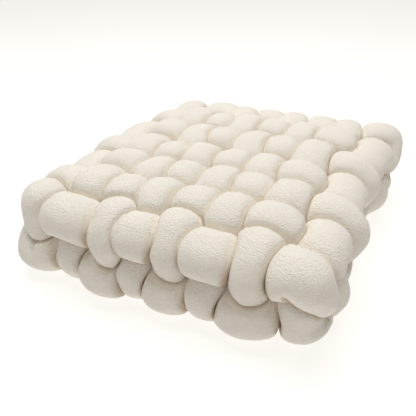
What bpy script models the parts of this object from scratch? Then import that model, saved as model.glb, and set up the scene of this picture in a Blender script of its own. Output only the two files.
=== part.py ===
"""Knot cushion: a floor cushion woven by hand from fifteen stuffed plush tubes.

Seven row strands run along X and eight column strands run along Y. Each strand is a
closed loop. It goes over and under the others across the top, round an edge, and back
across the bottom, so the cushion is two woven layers thick. At an edge a strand wraps
round either the upper or the lower edge strand, and tucks into the groove between them.
The tubes are soft and full, so they press each other flat where they touch, and they
bulge where they are free. Units are metres, +Z is up, and the cushion lies on z = 0.
"""
import bmesh
import bpy
import numpy as np

MM = 0.001

# The weave in plan, as uneven as a hand weaves it
TABLE = [("place_mm", float), ("slide_mm", float), ("end_mm", float)]
# place: where the strand lies across itself, from the cushion's middle
# slide: how far its crossings have slid along it
# end: how far its first crossing has been pulled across, beside the others
COLUMNS = np.array(
    [
        (-173, -9, -3),
        (-115, -7, 0),
        (-60, -11, 7),
        (-22, -3, 2),
        (33, 3, -4),
        (78, 5, 0),
        (128, 9, 0),
        (182, 16, 0),
    ],
    dtype=TABLE,
)
ROWS = np.array(
    [
        (-209, 17, 0),
        (-167, 12, 0),
        (-101, 8, 0),
        (-37, -5, 0),
        (46, -14, 0),
        (121, -8, 0),
        (205, -7, 0),
    ],
    dtype=TABLE,
)
BOTTOM_SLIDE = -0.005       # along X of the bottom layer beside the top one

# Heights, measured from the cushion's middle plane unless said otherwise
MIDDLE_HEIGHT = 0.0693      # of the middle plane above the surface it lies on
LAYER_HEIGHT = 0.0286       # of each woven layer
CRIMP = 0.0154              # of a crossing above or below its layer
CREST = 0.25                # share of the crimp kept halfway between crossings
END_DROP = 0.0095           # by which a strand's last crossing sags towards the middle
EDGE_DROP = 0.0140          # by which an edge strand's free stretches sag

# Edges
EDGE_BULGE = {"row": 0.0184, "column": 0.0040}     # of a free stretch of an edge strand
EDGE_TUCK = 0.60            # share of the bulge by which a wrapped stretch is drawn in
BULGE_KEPT = 0.55           # share of the bulge kept halfway between crossings
WRAP_REACH = {"row": 0.0233, "column": 0.0207}     # of a wrap beyond its last crossing
CORNER_REACH = 0.62         # share of that reach that an edge strand's wraps have
WRAP_HEIGHT = 0.72          # of a wrap's outermost point, as a share of the layer height
GROOVE_REACH = 0.0130       # of the tuck in the groove beyond its last crossing

# Radii that the stuffed tube has where nothing presses on it
PLUMP = {
    "over": 0.0405,
    "under": 0.0290,
    "between": 0.0370,
    "last_over": 0.0385,
    "edge_over": 0.0352,
    "edge_under": 0.0260,
    "edge_between": 0.0385,
    "wrap": 0.0274,
    "groove": 0.0260,
}
FLATTEN = 1.20              # width over height of a free section
GAP = 0.0004                # between two tubes that press on each other
ROUNDING = 14.0              # how sharply a free side turns into a pressed one
BEND_LIMIT = 0.90           # radius on the inside of a bend, over the bend's own radius
OWN_REACH = 0.110           # length of its own loop that a section doesn't press on

# Fineness
SIDES = 8
RINGS_PER_SPAN = 2
FAR = 1.0                   # reach of a side that nothing stops
LEAST_REACH = 0.001

PLUSH_COLOUR = (0.87, 0.82, 0.73, 1.0)
PLUSH_ROUGHNESS = 0.95


def clear_scene():
    for old in list(bpy.data.objects):
        bpy.data.objects.remove(old, do_unlink=True)


def crossing_plan():
    """X and Y of every crossing, as arrays [column, row]."""
    x_plan = COLUMNS["place_mm"][:, None] + ROWS["slide_mm"][None, :]
    y_plan = ROWS["place_mm"][None, :] + COLUMNS["slide_mm"][:, None]
    x_plan[:, 0] += COLUMNS["end_mm"]
    y_plan[0, :] += ROWS["end_mm"]
    return x_plan * MM, y_plan * MM


def lies_over(kind, crossing, index):
    """Whether the strand is the upper one of the top layer at this crossing."""
    odd = (crossing + index) % 2 == 1
    return odd if kind == "row" else not odd


def strand_controls(kind, index):
    """Control rows (x, y, z, radius) of one closed strand: top run, turn, bottom run, turn."""
    x_plan, y_plan = crossing_plan()
    if kind == "row":
        along, across, strand_count = x_plan[:, index], y_plan[:, index], len(ROWS)
    else:
        along, across, strand_count = y_plan[index], x_plan[index], len(COLUMNS)
    last = len(along) - 1
    outward = {0: -1, strand_count - 1: 1}.get(index, 0)
    bulge = outward * EDGE_BULGE[kind]
    prefix = "edge_" if outward else ""

    def crossing(k, face):
        free = lies_over(kind, k, index) == (face > 0)
        height = LAYER_HEIGHT + (CRIMP if free else -CRIMP)
        if k in (0, last):
            height -= (END_DROP + EDGE_DROP) / 2 if outward else END_DROP
        elif outward and free:
            height -= EDGE_DROP
        side = bulge if free else -EDGE_TUCK * bulge
        plump = PLUMP[prefix + ("over" if free else "under")]
        if free and not outward and k in (0, last):
            plump = PLUMP["last_over"]
        return along[k], across[k] + side, face * height, plump

    def halfway(k, face):
        side = bulge * (BULGE_KEPT - (1 - BULGE_KEPT) * EDGE_TUCK)
        height = LAYER_HEIGHT + CREST * CRIMP - (EDGE_DROP / 2 if outward else 0)
        middle_along = (along[k] + along[k + 1]) / 2
        middle_across = (across[k] + across[k + 1]) / 2 + side
        return middle_along, middle_across, face * height, PLUMP[prefix + "between"]

    def run(face):
        points = []
        for k in range(last):
            points += [crossing(k, face), halfway(k, face)]
        return points + [crossing(last, face)]

    def turn(k, beyond):
        """From the top round an edge to the bottom; beyond is the way out, -1 or 1."""
        height = WRAP_HEIGHT * LAYER_HEIGHT + CRIMP / 4
        reach = WRAP_REACH[kind] * (CORNER_REACH if outward else 1.0)
        wrap_end = along[k] + beyond * reach
        groove_end = along[k] + beyond * GROOVE_REACH
        wrap = (wrap_end, across[k] + bulge, height, PLUMP["wrap"])
        tuck = (groove_end, across[k], 0.0, PLUMP["groove"])
        if lies_over(kind, k, index):
            return [wrap, tuck]
        return [tuck, (wrap[0], wrap[1], -height, wrap[3])]

    rows = run(1) + turn(last, 1) + run(-1)[::-1] + turn(0, -1)[::-1]
    controls = np.array(rows)
    if kind == "column":
        controls[:, [0, 1]] = controls[:, [1, 0]]
    controls[:, 0] += BOTTOM_SLIDE * np.clip(-controls[:, 2] / LAYER_HEIGHT, 0.0, 1.0)
    controls[:, 2] *= FLATTEN
    return controls


def smooth_loop(controls, per_span):
    """Points on a closed Catmull-Rom curve through the control rows."""
    t = np.arange(per_span)[None, :, None] / per_span
    before, start, end, after = (np.roll(controls, -shift, axis=0)[:, None] for shift in (-1, 0, 1, 2))
    curve = (
        2 * start
        + (end - before) * t
        + (2 * before - 5 * start + 4 * end - after) * t**2
        + (3 * start - before - 3 * end + after) * t**3
    ) / 2
    return curve.reshape(-1, controls.shape[1])


def ring_directions(kind, centres):
    """Unit vectors from each centre to its ring's corners, with a flat side underneath."""
    forward = np.roll(centres, -1, axis=0) - np.roll(centres, 1, axis=0)
    forward /= np.linalg.norm(forward, axis=1, keepdims=True)
    across = np.zeros_like(centres)
    across[:, 1 if kind == "row" else 0] = 1.0
    across -= forward * np.sum(forward * across, axis=1, keepdims=True)
    across /= np.linalg.norm(across, axis=1, keepdims=True)
    normal = np.cross(forward, across)
    angles = (np.arange(SIDES) + 0.5) * 2 * np.pi / SIDES
    return (
        np.cos(angles)[None, :, None] * across[:, None]
        + np.sin(angles)[None, :, None] * normal[:, None]
    )


def bend_reach(centres, directions):
    """How far a ring can reach towards the inside of its own bend."""
    before = centres - np.roll(centres, 1, axis=0)
    after = np.roll(centres, -1, axis=0) - centres
    step = (np.linalg.norm(before, axis=1) + np.linalg.norm(after, axis=1)) / 2
    turning = after / np.linalg.norm(after, axis=1, keepdims=True)
    turning -= before / np.linalg.norm(before, axis=1, keepdims=True)
    curvature = np.sum(directions * (turning / step[:, None])[:, None], axis=2)
    return np.where(curvature > BEND_LIMIT / FAR, BEND_LIMIT / np.maximum(curvature, 1e-6), FAR)


def press_reach(rings, directions, own, others, ignored):
    """How far each ring reaches before it meets the tube round another centreline.

    A plane stands between the middle of each stretch of the strand (own) and the middle of
    each stretch of the other. Both rings that end a stretch keep to their side of it.
    """
    offset = others[None, :, :3] - own[:, None, :3]
    distance = np.linalg.norm(offset, axis=2)
    towards = offset / np.maximum(distance, 1e-9)[..., None]
    share = own[:, None, 3] / (own[:, None, 3] + others[None, :, 3])
    plane = distance * share - GAP / 2
    plane -= np.sum((rings - own)[:, None, :3] * towards, axis=2)
    plane = np.where(ignored, FAR, np.maximum(plane, LEAST_REACH))
    facing = np.einsum("rsk,rpk->rsp", directions, towards)
    reach = np.where(facing > 1e-3, plane[:, None] / np.maximum(facing, 1e-3), FAR)
    return reach.min(axis=2)


def own_neighbours(middles):
    """True for two stretches of one loop that lie too near along it to press on each other."""
    steps = np.linalg.norm(np.roll(middles, -1, axis=0)[:, :3] - middles[:, :3], axis=1)
    place = np.concatenate([[0.0], np.cumsum(steps)])
    apart = np.abs(place[:-1, None] - place[None, :-1])
    return np.minimum(apart, place[-1] - apart) < OWN_REACH


def strand_rings(kind, index, centrelines):
    """Corner points of one strand's rings, pressed by every strand, as an array [ring, side]."""
    rings, middles = centrelines[kind, index][::2], centrelines[kind, index][1::2]
    directions = ring_directions(kind, rings[:, :3])
    reach = bend_reach(rings[:, :3], directions)
    for key, points in centrelines.items():
        for own in (middles, np.roll(middles, 1, axis=0)):
            ignored = own_neighbours(own) if key == (kind, index) else False
            others = own if key == (kind, index) else points[1::2]
            reach = np.minimum(reach, press_reach(rings, directions, own, others, ignored))
    plump = rings[:, None, 3]
    radius = (plump**-ROUNDING + reach**-ROUNDING) ** (-1 / ROUNDING)
    corners = rings[:, None, :3] + directions * radius[..., None]
    corners[..., 2] = np.maximum(corners[..., 2] / FLATTEN + MIDDLE_HEIGHT, 0.0)
    return corners


def plush_material(name):
    material = bpy.data.materials.new(name)
    material.use_nodes = True
    shader = material.node_tree.nodes["Principled BSDF"]
    shader.inputs["Base Color"].default_value = PLUSH_COLOUR
    shader.inputs["Roughness"].default_value = PLUSH_ROUGHNESS
    shader.inputs["Metallic"].default_value = 0.0
    return material


def strand_object(name, corners, parent):
    """A closed tube through the rings, which end where they start."""
    mesh = bmesh.new()
    grid = [[mesh.verts.new(corner) for corner in ring] for ring in corners]
    for r, ring in enumerate(grid):
        following = grid[(r + 1) % len(grid)]
        for s in range(SIDES):
            t = (s + 1) % SIDES
            mesh.faces.new((ring[s], ring[t], following[t], following[s]))
    bmesh.ops.recalc_face_normals(mesh, faces=mesh.faces)
    data = bpy.data.meshes.new(name)
    mesh.to_mesh(data)
    mesh.free()
    data.shade_smooth()
    data.materials.append(plush_material(name + "_plush"))
    strand = bpy.data.objects.new(name, data)
    strand.parent = parent
    bpy.context.collection.objects.link(strand)


def build_cushion():
    clear_scene()
    cushion = bpy.data.objects.new("knot_cushion", None)
    bpy.context.collection.objects.link(cushion)
    strands = [("row", i) for i in range(len(ROWS))] + [("column", i) for i in range(len(COLUMNS))]
    centrelines = {key: smooth_loop(strand_controls(*key), 2 * RINGS_PER_SPAN) for key in strands}
    for kind, index in strands:
        corners = strand_rings(kind, index, centrelines)
        strand_object(f"{kind}_strand_{index + 1}", corners, cushion)


build_cushion()
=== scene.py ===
"""Looks of the knot cushion: fifteen full plush strands in a pale studio.

The weave, its heights and the way the tubes press each other are those of the solids. Here
each strand has many more rings and corners, rounder crests, soft grooves and uneven stuffing,
and a plush material with painted shade low in its pile, painted warm shade and a painted glow
in the grooves where the strands press on each other, and darker painted shade in the side
creases.
"""
import math

import bpy
import numpy as np
from mathutils import Matrix, Vector


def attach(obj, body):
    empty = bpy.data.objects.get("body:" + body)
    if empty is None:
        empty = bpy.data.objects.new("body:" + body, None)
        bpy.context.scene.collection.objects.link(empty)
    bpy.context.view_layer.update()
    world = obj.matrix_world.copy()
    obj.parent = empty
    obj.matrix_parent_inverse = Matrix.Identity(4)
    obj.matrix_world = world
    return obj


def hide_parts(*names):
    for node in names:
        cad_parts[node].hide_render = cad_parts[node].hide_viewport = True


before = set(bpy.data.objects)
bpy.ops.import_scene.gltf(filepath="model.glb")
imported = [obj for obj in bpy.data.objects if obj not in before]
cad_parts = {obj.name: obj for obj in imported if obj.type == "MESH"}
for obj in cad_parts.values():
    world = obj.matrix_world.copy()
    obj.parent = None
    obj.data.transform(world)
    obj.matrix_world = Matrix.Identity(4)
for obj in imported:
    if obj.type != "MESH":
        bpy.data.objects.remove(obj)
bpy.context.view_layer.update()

MM = 0.001

# The weave in plan, one line a strand: its place, how far the strands that cross it are pushed
# sideways along it, and how far its own first crossing is pulled across
TABLE = [("place_mm", float), ("slide_mm", float), ("end_mm", float)]
COLUMNS = np.array(
    [
        (-173, -9, -3),
        (-115, -7, 0),
        (-60, -11, 7),
        (-22, -3, 2),
        (33, 3, -4),
        (78, 5, 0),
        (128, 9, 0),
        (182, 16, 0),
    ],
    dtype=TABLE,
)
ROWS = np.array(
    [
        (-209, 17, 0),
        (-167, 12, 0),
        (-101, 8, 0),
        (-37, -5, 0),
        (46, -14, 0),
        (121, -8, 0),
        (205, -7, 0),
    ],
    dtype=TABLE,
)
BOTTOM_SLIDE = -0.005       # of the whole lower layer along X

# Heights, measured from the cushion's middle plane unless said otherwise
MIDDLE_HEIGHT = 0.0693
LAYER_HEIGHT = 0.0286
CRIMP = 0.0170              # of a crossing above or below its layer
CREST = 0.08                # share of the crimp kept halfway between crossings
END_DROP = 0.0090           # of a strand's last crossings
EDGE_DROP = 0.0122          # of an edge strand's free crossings

# Edges
EDGE_BULGE = {"row": 0.0184, "column": 0.0040}   # outward, of an edge strand's free crossings
EDGE_TUCK = 0.60            # share of that bulge by which its other crossings go inward
BULGE_KEPT = 0.55           # share of the bulge kept halfway between crossings
WRAP_REACH = {"row": 0.0233, "column": 0.0207}   # of a wrap beyond its last crossing
CORNER_REACH = 0.48         # share of that reach that an edge strand's wraps have
WRAP_HEIGHT = 0.72          # share of the layer height at which a wrap is widest
GROOVE_REACH = 0.0130       # of the tuck between two wraps beyond the last crossing

# Radii that the stuffed tube has where nothing presses on it
PLUMP = {
    "over": 0.0415,
    "under": 0.0290,
    "between": 0.0350,
    "last_over": 0.0385,
    "edge_over": 0.0352,
    "edge_under": 0.0260,
    "edge_between": 0.0365,
    "wrap": 0.0274,
    "groove": 0.0260,
}
FLATTEN = 1.20              # sections are shaped this much taller, then squashed
GAP = 0.0003                # between two strands
ROUNDING = 8.0              # exponent: lower blends plump and pressed more softly
BEND_LIMIT = 0.90           # share of a bend's radius that its inner side can fill
OWN_REACH = 0.110           # along its loop, within which a strand doesn't press on itself

# Fineness
SIDES = 88
RINGS_PER_SPAN = 11
BEND_SPAN = RINGS_PER_SPAN // 4   # rings each way over which a bend is measured
NEIGHBOUR_SKIP = 2          # every second ring of the strands presses
NEAREST = 320               # points of the strands that can press on one ring
FAR = 1.0
LEAST_REACH = 0.001
SMALL = 1e-3

# Uneven stuffing: wavelength and height of each layer of lumps, in metres
LUMPS = ((0.034, 0.0012), (0.016, 0.0006), (0.008, 0.0004))
LUMPS_FROM = 0.55           # radius over plump radius, from which lumps begin
LUMPS_RISE = 0.40           # and over which they grow to their full height
LATTICE = 64
LATTICE_SHIFT = 200.0

# Grooves between strands, which the material paints with shade, and with a glow where they face
# up
GROOVE_WIDTH = 1.30         # reach over plump radius, up to which a groove gets painted shade
GROOVE_TILT = 0.35          # the higher, the more of the sides count as facing up and take the lighter painted groove shade

# Plush: colours, painted shades and glow, and scales of its noises in 1 / metres
PILE_DARK = (0.92, 0.875, 0.795, 1.0)
PILE_LIGHT = (0.96, 0.925, 0.855, 1.0)
# painted shade: warm tint of the pile's pits, where its own fibres shade each other
PIT_SHADE_COLOUR = (0.90, 0.79, 0.62, 1.0)
# painted shade: warm tint in the grooves that face up
GROOVE_SHADE_COLOUR = (0.95, 0.88, 0.77, 1.0)
# painted shade: darker brown in the grooves on the sides and underneath
CREASE_SHADE_COLOUR = (0.66, 0.52, 0.38, 1.0)
SHEEN_TINT = (1.0, 0.97, 0.92, 1.0)
GLOW_COLOUR = (1.0, 0.92, 0.82, 1.0)
GLOW = 0.09                 # painted light: glow put deep in an upward groove, for light that the pile passes on
GLOW_FROM = 0.20            # groove tint from which it begins
MOTTLE_SCALE = 55.0
PILE_SCALE = 430.0
PILE_COMBED = (1.0, 1.0, 1.6)
PILE_DEPTH = 0.0034
PIT_SHADE_SHARE = 0.32            # of the painted pit shade in the lowest pile
PITS_BELOW = 0.55           # pile noise below which pits begin
PITS_FULL = 0.35            # and at which they are deepest

# Studio
FLOOR_HALF = 12.0
FLOOR_LEVEL = -0.0002
FLOOR_COLOUR = (0.30, 0.30, 0.30, 1.0)
FLOOR_GLOW_COLOUR = (1.0, 0.97, 0.93, 1.0)
FLOOR_GLOW = 0.80
ROOM_COLOUR = (1.0, 0.94, 0.86, 1.0)
ROOM_STRENGTH = 0.26
LIGHT_PLACE = (-0.2, 0.1, 2.4)
LIGHT_SIZE = 2.2
LIGHT_WATTS = 56.0

# Camera, in degrees, metres and millimetres of lens
CAMERA_AZIMUTH = 30.56
CAMERA_ELEVATION = 28.61
CAMERA_ROLL = 0.44
CAMERA_DISTANCE = 0.7255
CAMERA_TARGET = (0.0030, -0.0686, 0.065)
CAMERA_LENS = 42.34
CAMERA_SENSOR = 36.0
CAMERA_CLIP = 0.01


def crossing_plan():
    """X and Y of each crossing [column, row], in metres."""
    x_plan = COLUMNS["place_mm"][:, None] + ROWS["slide_mm"][None, :]
    y_plan = ROWS["place_mm"][None, :] + COLUMNS["slide_mm"][:, None]
    x_plan[:, 0] += COLUMNS["end_mm"]
    y_plan[0, :] += ROWS["end_mm"]
    return x_plan * MM, y_plan * MM


def lies_over(kind, crossing, index):
    """Whether a strand is the outer one on top at one of its crossings."""
    odd = (crossing + index) % 2 == 1
    return odd if kind == "row" else not odd


def strand_controls(kind, index):
    """Control rows (x, y, z, radius) of one closed strand: top run, turn, bottom run, turn."""
    x_plan, y_plan = crossing_plan()
    if kind == "row":
        along, across, strand_count = x_plan[:, index], y_plan[:, index], len(ROWS)
    else:
        along, across, strand_count = y_plan[index], x_plan[index], len(COLUMNS)
    last = len(along) - 1
    outward = {0: -1, strand_count - 1: 1}.get(index, 0)
    bulge = outward * EDGE_BULGE[kind]
    prefix = "edge_" if outward else ""

    def crossing(k, face):
        free = lies_over(kind, k, index) == (face > 0)
        height = LAYER_HEIGHT + (CRIMP if free else -CRIMP)
        if k in (0, last):
            height -= (END_DROP + EDGE_DROP) / 2 if outward else END_DROP
        elif outward and free:
            height -= EDGE_DROP
        side = bulge if free else -EDGE_TUCK * bulge
        plump = PLUMP[prefix + ("over" if free else "under")]
        if free and not outward and k in (0, last):
            plump = PLUMP["last_over"]
        return along[k], across[k] + side, face * height, plump

    def halfway(k, face):
        side = bulge * (BULGE_KEPT - (1 - BULGE_KEPT) * EDGE_TUCK)
        height = LAYER_HEIGHT + CREST * CRIMP - (EDGE_DROP / 2 if outward else 0)
        middle_along = (along[k] + along[k + 1]) / 2
        middle_across = (across[k] + across[k + 1]) / 2 + side
        return middle_along, middle_across, face * height, PLUMP[prefix + "between"]

    def run(face):
        points = []
        for k in range(last):
            points += [crossing(k, face), halfway(k, face)]
        return points + [crossing(last, face)]

    def turn(k, beyond):
        """From the top round an edge to the bottom; beyond is the way out, -1 or 1."""
        height = WRAP_HEIGHT * LAYER_HEIGHT + CRIMP / 4
        reach = WRAP_REACH[kind] * (CORNER_REACH if outward else 1.0)
        wrap_end = along[k] + beyond * reach
        groove_end = along[k] + beyond * GROOVE_REACH
        wrap = (wrap_end, across[k] + bulge, height, PLUMP["wrap"])
        tuck = (groove_end, across[k], 0.0, PLUMP["groove"])
        if lies_over(kind, k, index):
            return [wrap, tuck]
        return [tuck, (wrap[0], wrap[1], -height, wrap[3])]

    rows = run(1) + turn(last, 1) + run(-1)[::-1] + turn(0, -1)[::-1]
    controls = np.array(rows)
    if kind == "column":
        controls[:, [0, 1]] = controls[:, [1, 0]]
    controls[:, 0] += BOTTOM_SLIDE * np.clip(-controls[:, 2] / LAYER_HEIGHT, 0.0, 1.0)
    controls[:, 2] *= FLATTEN
    return controls


def smooth_loop(controls, per_span):
    """Points on a closed Catmull-Rom curve through the control rows."""
    t = np.arange(per_span)[None, :, None] / per_span
    shifts = (-1, 0, 1, 2)
    before, start, end, after = (np.roll(controls, -shift, axis=0)[:, None] for shift in shifts)
    curve = (
        2 * start
        + (end - before) * t
        + (2 * before - 5 * start + 4 * end - after) * t**2
        + (3 * start - before - 3 * end + after) * t**3
    ) / 2
    return curve.reshape(-1, controls.shape[1])


def softened(points, rounds):
    """The same closed run of points with its small kinks evened out."""
    for _ in range(rounds):
        points = (np.roll(points, 1, axis=0) + 2 * points + np.roll(points, -1, axis=0)) / 4
    return points


def ring_directions(kind, centres):
    """Unit vectors from each centre to its ring's corners."""
    forward = np.roll(centres, -1, axis=0) - np.roll(centres, 1, axis=0)
    forward /= np.linalg.norm(forward, axis=1, keepdims=True)
    across = np.zeros_like(centres)
    across[:, 1 if kind == "row" else 0] = 1.0
    across -= forward * np.sum(forward * across, axis=1, keepdims=True)
    across /= np.linalg.norm(across, axis=1, keepdims=True)
    normal = np.cross(forward, across)
    angles = (np.arange(SIDES) + 0.5) * 2 * np.pi / SIDES
    return (
        np.cos(angles)[None, :, None] * across[:, None]
        + np.sin(angles)[None, :, None] * normal[:, None]
    )


def bend_reach(centres, directions):
    """How far a ring can reach towards the inside of its own bend."""
    before = (centres - np.roll(centres, BEND_SPAN, axis=0)) / BEND_SPAN
    after = (np.roll(centres, -BEND_SPAN, axis=0) - centres) / BEND_SPAN
    step = (np.linalg.norm(before, axis=1) + np.linalg.norm(after, axis=1)) / 2
    turning = after / np.linalg.norm(after, axis=1, keepdims=True)
    turning -= before / np.linalg.norm(before, axis=1, keepdims=True)
    curvature = np.sum(directions * (turning / (BEND_SPAN * step)[:, None])[:, None], axis=2)
    return np.where(curvature > BEND_LIMIT / FAR, BEND_LIMIT / np.maximum(curvature, 1e-6), FAR)


def own_place(points):
    """How far along its loop each point lies, and the loop's length."""
    steps = np.linalg.norm(np.roll(points, -1, axis=0)[:, :3] - points[:, :3], axis=1)
    place = np.concatenate([[0.0], np.cumsum(steps)])
    return place[:-1], place[-1]


def press_reach(rings, directions, kind_index, centrelines):
    """How far each ring reaches before it meets the nearest tubes, its own far parts included."""
    others = np.concatenate(
        [points[::NEIGHBOUR_SKIP] for key, points in centrelines.items() if key != kind_index]
    )
    own = rings[::NEIGHBOUR_SKIP]
    place, length = own_place(rings)
    apart = np.abs(place[:, None] - place[None, ::NEIGHBOUR_SKIP])
    near_along = np.minimum(apart, length - apart) < OWN_REACH
    every = np.concatenate([others, own])
    distance = np.linalg.norm(every[None, :, :3] - rings[:, None, :3], axis=2)
    distance[:, len(others):][near_along] = FAR
    nearest = np.argpartition(distance, NEAREST, axis=1)[:, :NEAREST]
    picked = every[nearest]
    distance = np.take_along_axis(distance, nearest, axis=1)
    towards = (picked[..., :3] - rings[:, None, :3]) / distance[..., None]
    share = rings[:, None, 3] / (rings[:, None, 3] + picked[..., 3])
    plane = np.where(distance >= FAR, FAR, np.maximum(distance * share - GAP / 2, LEAST_REACH))
    facing = np.einsum("rsk,rpk->rsp", directions, towards)
    reach = np.where(facing > SMALL, plane[:, None] / np.maximum(facing, SMALL), FAR)
    return reach.min(axis=2)


def lattice_noise(points, wavelength, seed):
    """Smooth noise from -1 to 1 at each point, between random values on a cubic lattice."""
    values = np.random.default_rng(seed).uniform(-1.0, 1.0, (LATTICE, LATTICE, LATTICE))
    scaled = points / wavelength + LATTICE_SHIFT
    base = np.floor(scaled).astype(int)
    part = scaled - base
    part = part * part * (3 - 2 * part)
    total = np.zeros(len(points))
    for corner in np.ndindex(2, 2, 2):
        weight = np.prod([part[:, k] if corner[k] else 1 - part[:, k] for k in range(3)], axis=0)
        place = (base + np.array(corner)) % LATTICE
        total += weight * values[place[:, 0], place[:, 1], place[:, 2]]
    return total


def strand_surface(kind, index, centrelines):
    """Corners [ring, side, xyz] of one strand, and masks for painted shade and glow in grooves
    and creases.
    """
    rings = centrelines[kind, index]
    directions = ring_directions(kind, rings[:, :3])
    reach = np.minimum(
        bend_reach(rings[:, :3], directions),
        press_reach(rings, directions, (kind, index), centrelines),
    )
    plump = rings[:, None, 3]
    radius = (plump**-ROUNDING + reach**-ROUNDING) ** (-1 / ROUNDING)
    free = np.clip((radius / plump - LUMPS_FROM) / LUMPS_RISE, 0.0, 1.0)
    near_groove = np.clip((GROOVE_WIDTH - reach / plump) / (GROOVE_WIDTH - 1.0), 0.0, 1.0)
    upward = np.clip(GROOVE_TILT + directions[..., 2], 0.0, 1.0)
    # masks of painted light and shade: upward grooves get warm painted shade and glow, side
    # creases darker painted shade
    shades = {"groove": near_groove**2 * upward, "crease": near_groove**2 * (1.0 - upward)}
    corners = rings[:, None, :3] + directions * radius[..., None]
    flat = corners.reshape(-1, 3)
    lumps = np.zeros(len(flat))
    for layer, (wavelength, height) in enumerate(LUMPS):
        seed = 100 * layer + 10 * index + (1 if kind == "row" else 2)
        lumps += height * lattice_noise(flat, wavelength, seed)
    limit = np.maximum(radius, reach - GAP)
    lumpy = np.minimum(radius + lumps.reshape(radius.shape) * free, limit)
    corners += directions * (lumpy - radius)[..., None]
    corners[..., 2] = np.maximum(corners[..., 2] / FLATTEN + MIDDLE_HEIGHT, 0.0)
    return corners, shades


def set_inputs(node, values):
    for name, value in values.items():
        node.inputs[name].default_value = value


def colour_mix(tree, factor, first, second):
    """Result of a colour mix: first is a colour or a socket, second a colour."""
    mix = tree.nodes.new("ShaderNodeMix")
    mix.data_type = "RGBA"
    mix.inputs["B"].default_value = second
    if isinstance(first, tuple):
        mix.inputs["A"].default_value = first
    else:
        tree.links.new(first, mix.inputs["A"])
    tree.links.new(factor, mix.inputs["Factor"])
    return mix.outputs["Result"]


def point_value(tree, name):
    attribute = tree.nodes.new("ShaderNodeAttribute")
    attribute.attribute_name = name
    return attribute.outputs["Fac"]


def plush_material(name):
    """Short cream pile, mottled, with warm painted shade in pits, grooves and creases and a
    painted glow.
    """
    material = bpy.data.materials.new(name)
    material.use_nodes = True
    tree = material.node_tree
    nodes, links = tree.nodes, tree.links
    shader = nodes["Principled BSDF"]
    set_inputs(
        shader,
        {
            "Roughness": 0.95,
            "Specular IOR Level": 0.1,
            "Sheen Weight": 0.10,
            "Sheen Roughness": 0.6,
            "Sheen Tint": SHEEN_TINT,
            "Emission Color": GLOW_COLOUR,
        },
    )

    place = nodes.new("ShaderNodeTexCoord")
    mottle = nodes.new("ShaderNodeTexNoise")
    set_inputs(mottle, {"Scale": MOTTLE_SCALE, "Detail": 4.0})
    links.new(place.outputs["Object"], mottle.inputs["Vector"])
    combed = nodes.new("ShaderNodeMapping")
    set_inputs(combed, {"Scale": PILE_COMBED})
    links.new(place.outputs["Object"], combed.inputs["Vector"])
    pile = nodes.new("ShaderNodeTexNoise")
    set_inputs(pile, {"Scale": PILE_SCALE, "Detail": 3.0, "Roughness": 0.55})
    links.new(combed.outputs["Vector"], pile.inputs["Vector"])
    # painted shade: the lowest pile is darkened towards the pit shade colour
    pits = nodes.new("ShaderNodeMapRange")
    set_inputs(
        pits,
        {"From Min": PITS_FULL, "From Max": PITS_BELOW, "To Min": PIT_SHADE_SHARE, "To Max": 0.0},
    )
    links.new(pile.outputs["Fac"], pits.inputs["Value"])

    groove, crease = point_value(tree, "groove"), point_value(tree, "crease")
    colour = colour_mix(tree, mottle.outputs["Fac"], PILE_DARK, PILE_LIGHT)
    colour = colour_mix(tree, pits.outputs["Result"], colour, PIT_SHADE_COLOUR)
    # painted shade in the grooves facing up and, darker, in the creases on the sides
    colour = colour_mix(tree, groove, colour, GROOVE_SHADE_COLOUR)
    colour = colour_mix(tree, crease, colour, CREASE_SHADE_COLOUR)
    links.new(colour, shader.inputs["Base Color"])

    # painted light: the upward grooves glow, though the pile is no lamp
    glow = nodes.new("ShaderNodeMapRange")
    glow.interpolation_type = "SMOOTHSTEP"
    set_inputs(glow, {"From Min": GLOW_FROM, "To Max": GLOW})
    links.new(groove, glow.inputs["Value"])
    links.new(glow.outputs["Result"], shader.inputs["Emission Strength"])

    bump = nodes.new("ShaderNodeBump")
    set_inputs(bump, {"Strength": 0.9, "Distance": PILE_DEPTH})
    links.new(pile.outputs["Fac"], bump.inputs["Height"])
    links.new(bump.outputs["Normal"], shader.inputs["Normal"])
    return material


def strand_piece(node, corners, shades):
    """One closed tube as a smooth object that stands for its solid."""
    ring_count, side_count = corners.shape[:2]
    ring, side = np.meshgrid(np.arange(ring_count), np.arange(side_count), indexing="ij")
    next_ring, next_side = (ring + 1) % ring_count, (side + 1) % side_count
    quads = np.stack(
        [
            ring * side_count + side,
            ring * side_count + next_side,
            next_ring * side_count + next_side,
            next_ring * side_count + side,
        ],
        axis=-1,
    ).reshape(-1, 4)
    data = bpy.data.meshes.new(node + "_fabric")
    data.from_pydata(corners.reshape(-1, 3), [], quads)
    data.shade_smooth()
    for name, values in shades.items():
        data.attributes.new(name, "FLOAT", "POINT").data.foreach_set("value", values.ravel())
    data.materials.append(plush_material(node + "_pile"))
    piece = bpy.data.objects.new(node + "_fabric", data)
    bpy.context.collection.objects.link(piece)
    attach(piece, "root")
    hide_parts(node)
    return piece


def make_strands():
    strands = [("row", i) for i in range(len(ROWS))]
    strands += [("column", i) for i in range(len(COLUMNS))]
    centrelines = {
        key: softened(smooth_loop(strand_controls(*key), RINGS_PER_SPAN), RINGS_PER_SPAN)
        for key in strands
    }
    for kind, index in strands:
        corners, shades = strand_surface(kind, index, centrelines)
        strand_piece(f"{kind}_strand_{index + 1}", corners, shades)


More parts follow.
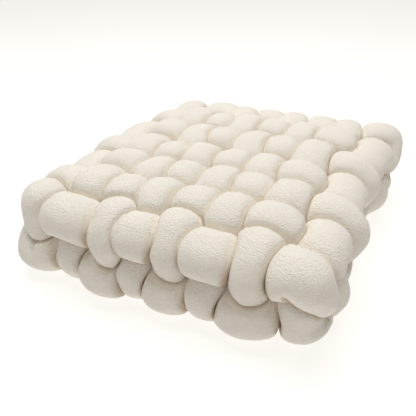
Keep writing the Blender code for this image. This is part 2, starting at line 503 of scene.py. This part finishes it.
def make_floor():
    """A large pale floor, lit evenly enough to look white round the cushion."""
    data = bpy.data.meshes.new("floor")
    outline = ((-1, -1), (1, -1), (1, 1), (-1, 1))
    corners = [(x * FLOOR_HALF, y * FLOOR_HALF, FLOOR_LEVEL) for x, y in outline]
    data.from_pydata(corners, [], [(0, 1, 2, 3)])
    material = bpy.data.materials.new("floor_paint")
    material.use_nodes = True
    set_inputs(
        material.node_tree.nodes["Principled BSDF"],
        {
            "Base Color": FLOOR_COLOUR,
            "Roughness": 0.9,
            "Specular IOR Level": 0.1,
            "Emission Color": FLOOR_GLOW_COLOUR,
            "Emission Strength": FLOOR_GLOW,
        },
    )
    data.materials.append(material)
    floor = bpy.data.objects.new("floor", data)
    bpy.context.collection.objects.link(floor)


def make_light():
    """Warm even light from the room, and one large soft lamp overhead."""
    world = bpy.data.worlds.new("studio")
    world.use_nodes = True
    background = world.node_tree.nodes["Background"]
    set_inputs(background, {"Color": ROOM_COLOUR, "Strength": ROOM_STRENGTH})
    bpy.context.scene.world = world

    data = bpy.data.lights.new("top_light", "AREA")
    data.shape = "DISK"
    data.size = LIGHT_SIZE
    data.energy = LIGHT_WATTS
    lamp = bpy.data.objects.new("top_light", data)
    lamp.location = LIGHT_PLACE
    lamp.rotation_mode = "QUATERNION"
    lamp.rotation_quaternion = (-Vector(LIGHT_PLACE)).to_track_quat("-Z", "Y")
    bpy.context.collection.objects.link(lamp)


def make_camera():
    """The photograph's view, over the near corner of the cushion."""
    azimuth, elevation = math.radians(CAMERA_AZIMUTH), math.radians(CAMERA_ELEVATION)
    back = Vector(
        (
            math.cos(elevation) * math.sin(azimuth),
            -math.cos(elevation) * math.cos(azimuth),
            math.sin(elevation),
        )
    )
    data = bpy.data.cameras.new("camera")
    data.lens = CAMERA_LENS
    data.sensor_width = CAMERA_SENSOR
    data.clip_start = CAMERA_CLIP
    camera = bpy.data.objects.new("camera", data)
    place = Matrix.Translation(Vector(CAMERA_TARGET) + back * CAMERA_DISTANCE)
    turn = (-back).to_track_quat("-Z", "Y").to_matrix().to_4x4()
    roll = Matrix.Rotation(-math.radians(CAMERA_ROLL), 4, "Z")
    camera.matrix_world = place @ turn @ roll
    bpy.context.collection.objects.link(camera)
    bpy.context.scene.camera = camera


bpy.context.scene.view_settings.view_transform = "Standard"
make_strands()
make_floor()
make_light()
make_camera()
